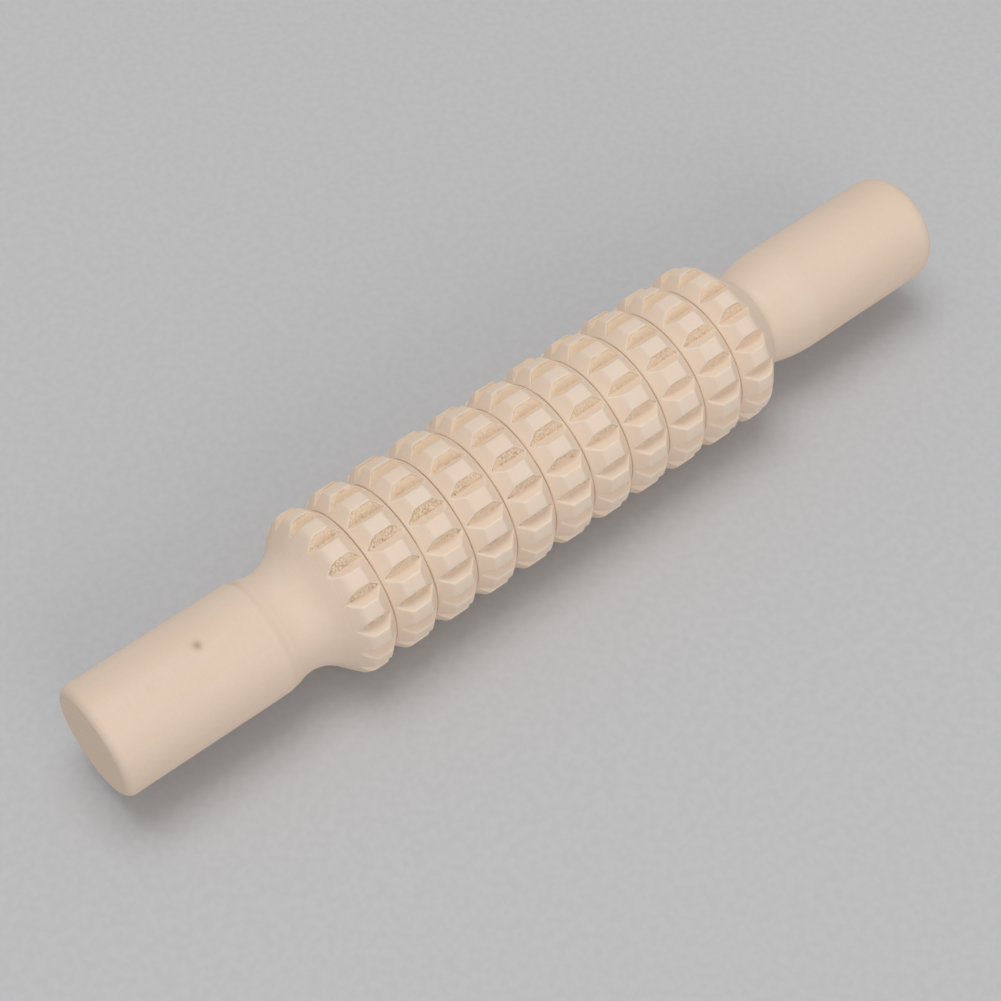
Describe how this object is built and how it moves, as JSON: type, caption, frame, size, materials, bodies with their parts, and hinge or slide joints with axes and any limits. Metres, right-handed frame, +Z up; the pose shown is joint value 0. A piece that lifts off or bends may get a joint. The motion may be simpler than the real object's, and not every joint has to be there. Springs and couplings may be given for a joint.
{
  "type": "textured pattern roller",
  "caption": "One-piece turned wooden texture roller: ringed and notched barrel between two waisted necks and plain cylindrical handles.",
  "frame": {"origin": "on the turning axis, half way between the two end faces", "axes": "+X along the turning axis towards the right handle, whose neck blends in softly; +Z up with a row of notches straight down, which is how the roller lies at rest"},
  "size_m": [0.2, 0.0336, 0.0336],
  "materials": {
    "raw_wood": "raw, unfinished, fine-grained pale wood, matt"
  },
  "bodies": {
    "root": {"left_handle": "raw_wood", "left_neck": "raw_wood", "ring_01": "raw_wood", "ring_02": "raw_wood", "ring_03": "raw_wood", "ring_04": "raw_wood", "ring_05": "raw_wood", "ring_06": "raw_wood", "ring_07": "raw_wood", "ring_08": "raw_wood", "ring_09": "raw_wood", "ring_10": "raw_wood", "ring_11": "raw_wood", "right_neck": "raw_wood", "right_handle": "raw_wood"}
  },
  "joints": []
}
